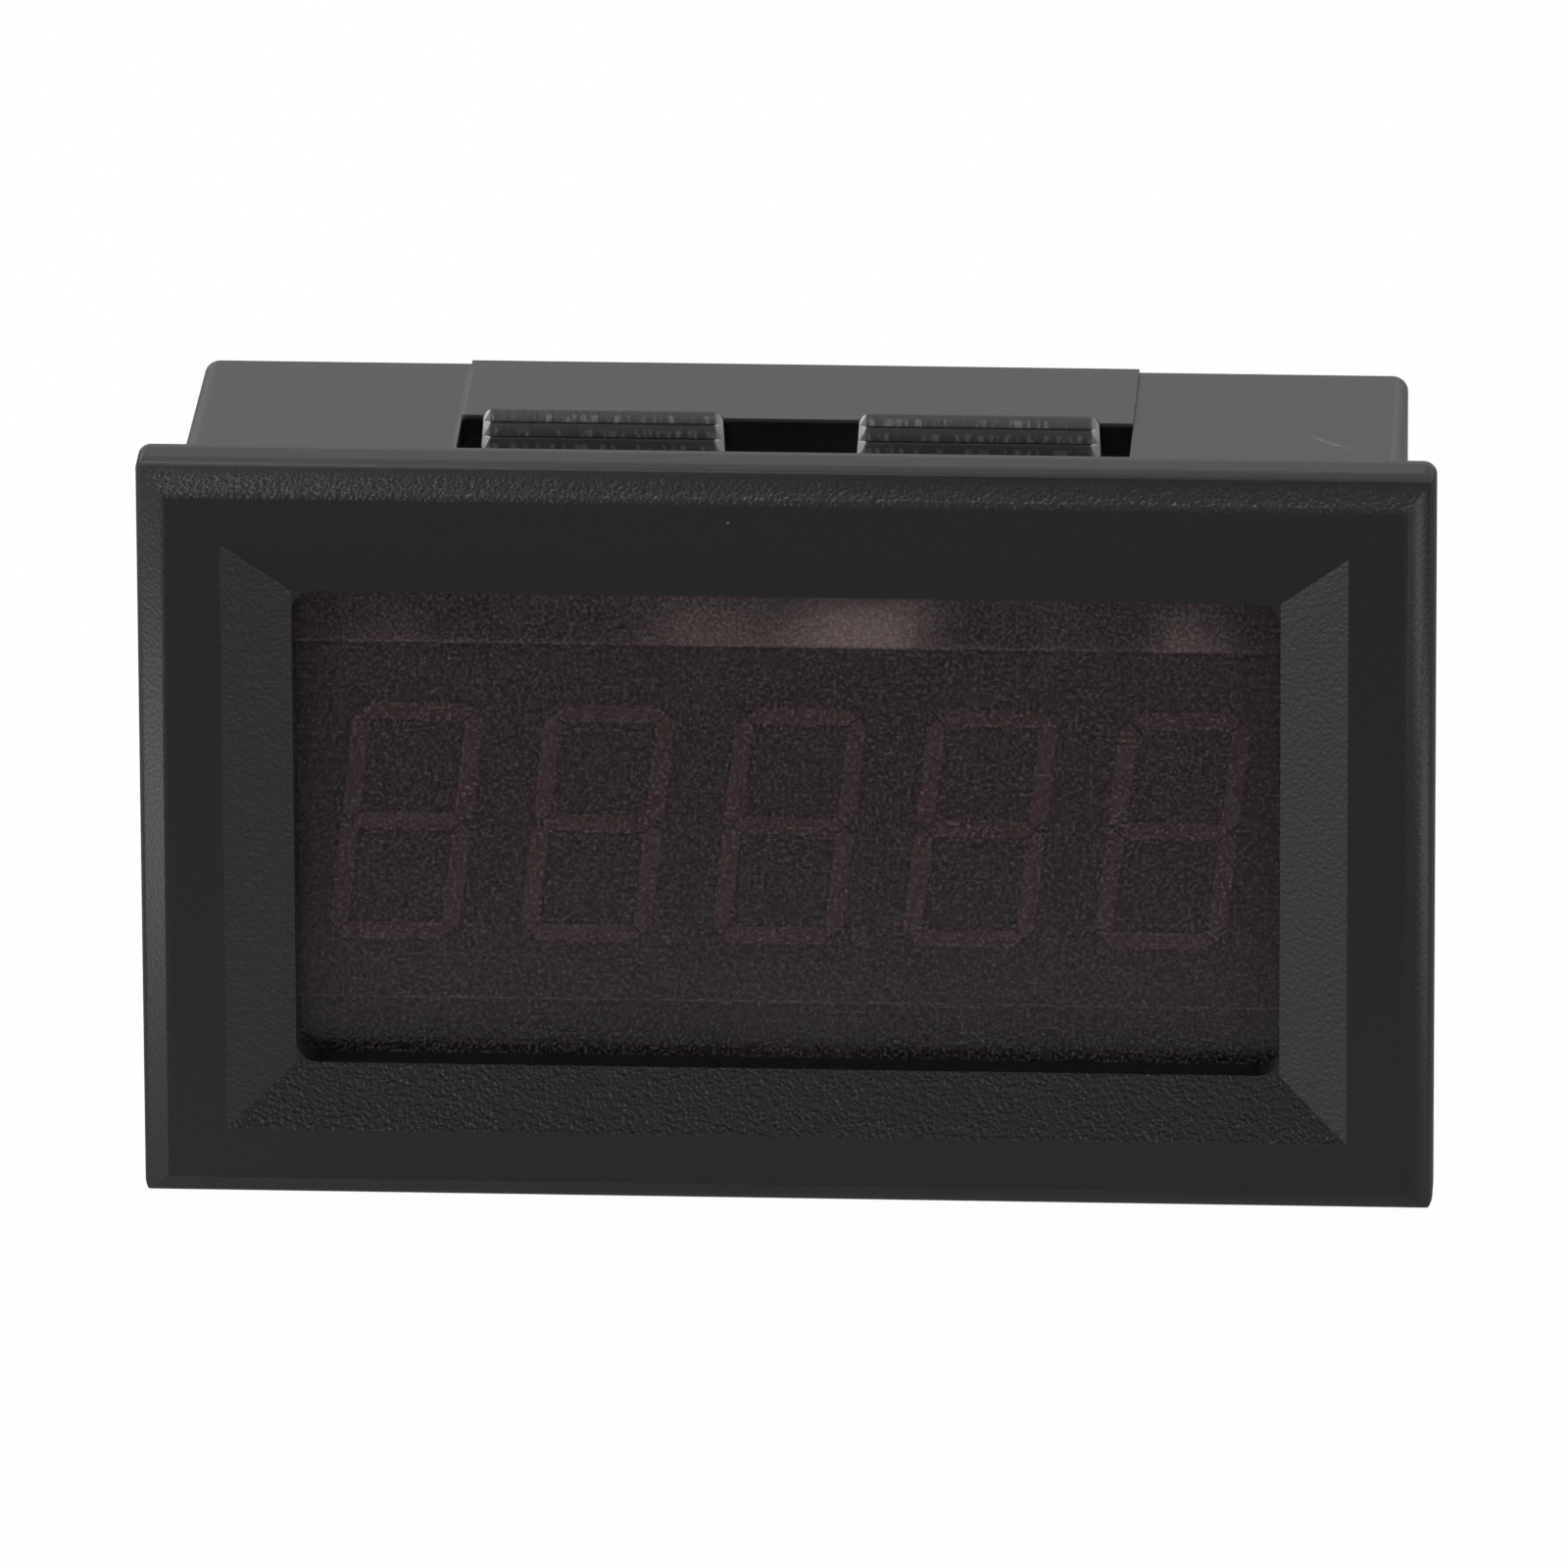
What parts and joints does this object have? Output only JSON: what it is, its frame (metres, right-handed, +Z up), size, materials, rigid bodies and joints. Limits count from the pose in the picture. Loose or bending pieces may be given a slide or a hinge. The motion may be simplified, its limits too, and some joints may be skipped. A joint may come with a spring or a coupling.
{
  "type": "digital panel meter",
  "caption": "Snap-in panel meter: black moulded case with sunken window, dark filter over a seven-segment LED display, and a circuit board with lead header behind.",
  "frame": {"origin": "centre of the flange's rear face, which lies on the front of the panel", "axes": "+X to the right along the long side, +Y from the front to the rear through the panel, +Z up"},
  "size_m": [0.048, 0.0192, 0.029],
  "materials": {
    "case_plastic": "spark-eroded texture",
    "filter_plastic": "frosted, tinted",
    "display_plastic": "moulded, painted face",
    "segment_resin": "diffusing resin, unlit",
    "laminate": "solder mask on glass laminate",
    "solder": "reflowed, bright",
    "pin_metal": "tinned",
    "chip_epoxy": "moulded epoxy",
    "can_aluminium": "drawn can",
    "base_plastic": "moulded",
    "resistor_film": "glazed",
    "capacitor_ceramic": "fired",
    "trimmer_plastic": "moulded",
    "rotor_brass": "turned",
    "header_plastic": "moulded nylon"
  },
  "bodies": {
    "meter": {"case": "case_plastic", "filter": "filter_plastic", "display_housing": "display_plastic", "digit_1_segments": "segment_resin", "digit_2_segments": "segment_resin", "digit_3_segments": "segment_resin", "digit_4_segments": "segment_resin", "digit_5_segments": "segment_resin", "decimal_points": "segment_resin", "display_pins": "pin_metal", "main_board": "laminate", "solder_joints": "solder", "controller_chip": "chip_epoxy", "controller_legs": "pin_metal", "converter_chip": "chip_epoxy", "converter_legs": "pin_metal", "voltage_regulator": "chip_epoxy", "regulator_legs": "pin_metal", "reverse_diode": "chip_epoxy", "diode_tabs": "pin_metal", "capacitor_base": "base_plastic", "capacitor_can": "can_aluminium", "chip_resistors": "resistor_film", "chip_capacitors": "capacitor_ceramic", "chip_end_caps": "solder", "trimmer_body": "trimmer_plastic", "trimmer_legs": "pin_metal", "header_shell": "header_plastic", "header_pins": "pin_metal"},
    "rotor": {"trimmer_rotor": "rotor_brass"}
  },
  "joints": [
    {"name": "trimmer_turn", "type": "hinge", "parent": "meter", "child": "rotor", "pos_m": [0.01661, 0.012, 0.00742], "axis": [0, 1, 0], "range_deg": [-120, 120]}
  ]
}
